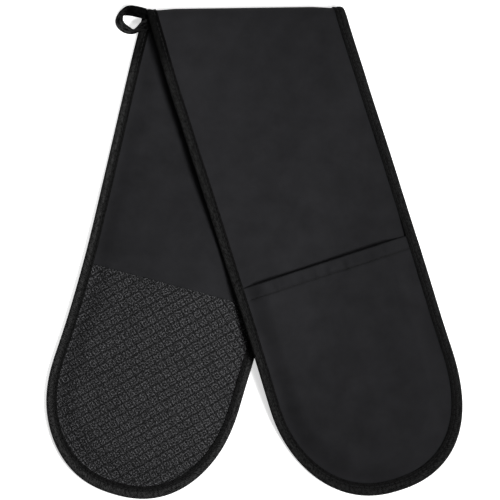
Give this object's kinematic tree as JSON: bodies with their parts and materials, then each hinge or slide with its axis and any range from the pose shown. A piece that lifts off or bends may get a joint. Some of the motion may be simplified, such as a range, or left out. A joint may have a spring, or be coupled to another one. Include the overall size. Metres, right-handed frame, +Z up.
{
  "type": "double oven glove",
  "caption": "Long padded fabric strip with a hand pocket and a textured grip panel at each end, bound all round, folded over once, with a tape hanging loop at its middle",
  "frame": {"origin": "the middle of the footprint, on the surface the glove lies on", "axes": "+Z up from the surface; +Y towards the fold, up the picture; +X to the right of the picture"},
  "size_m": [0.371, 0.4454, 0.0293],
  "materials": {
    "strip_fabric": "near-black smooth woven cotton twill, matte",
    "grip": "near-black raised silicone print of nested squares on fabric, satin",
    "wadding": "off-white heat-resistant felt, matte",
    "binding": "black bias tape, matte",
    "thread": "black sewing thread"
  },
  "bodies": {
    "back_mitt": {"back_grip_side_fabric": "strip_fabric", "back_grip_panel": "grip", "back_wadding": "wadding", "back_pocket_side_fabric": "strip_fabric", "back_pocket_lining": "strip_fabric", "back_pocket_wadding": "wadding", "back_pocket_fabric": "strip_fabric", "back_binding": "binding", "back_binding_thread": "thread", "back_hem_thread": "thread", "fold_pocket_side_fabric": "strip_fabric", "fold_wadding": "wadding", "fold_grip_side_fabric": "strip_fabric", "fold_left_binding": "binding", "fold_right_binding": "binding"},
    "front_mitt": {"front_grip_side_fabric": "strip_fabric", "front_grip_panel": "grip", "front_wadding": "wadding", "front_pocket_side_fabric": "strip_fabric", "front_pocket_lining": "strip_fabric", "front_pocket_wadding": "wadding", "front_pocket_fabric": "strip_fabric", "front_binding": "binding", "front_binding_thread": "thread", "front_hem_thread": "thread"},
    "loop": {"hanging_loop": "binding"}
  },
  "joints": [
    {"name": "fold", "type": "hinge", "parent": "back_mitt", "child": "front_mitt", "pos_m": [-0.01046, 0.20992, 0.0085], "axis": [-0.9999, -0.014, 0], "range_deg": [0, 175], "deforming": ["fold_pocket_side_fabric", "fold_wadding", "fold_grip_side_fabric", "fold_left_binding", "fold_right_binding"]},
    {"name": "loop_lift", "type": "hinge", "parent": "back_mitt", "child": "loop", "pos_m": [-0.1018, 0.20928, 0.00926], "axis": [0, 1, 0], "range_deg": [0, 110]}
  ]
}
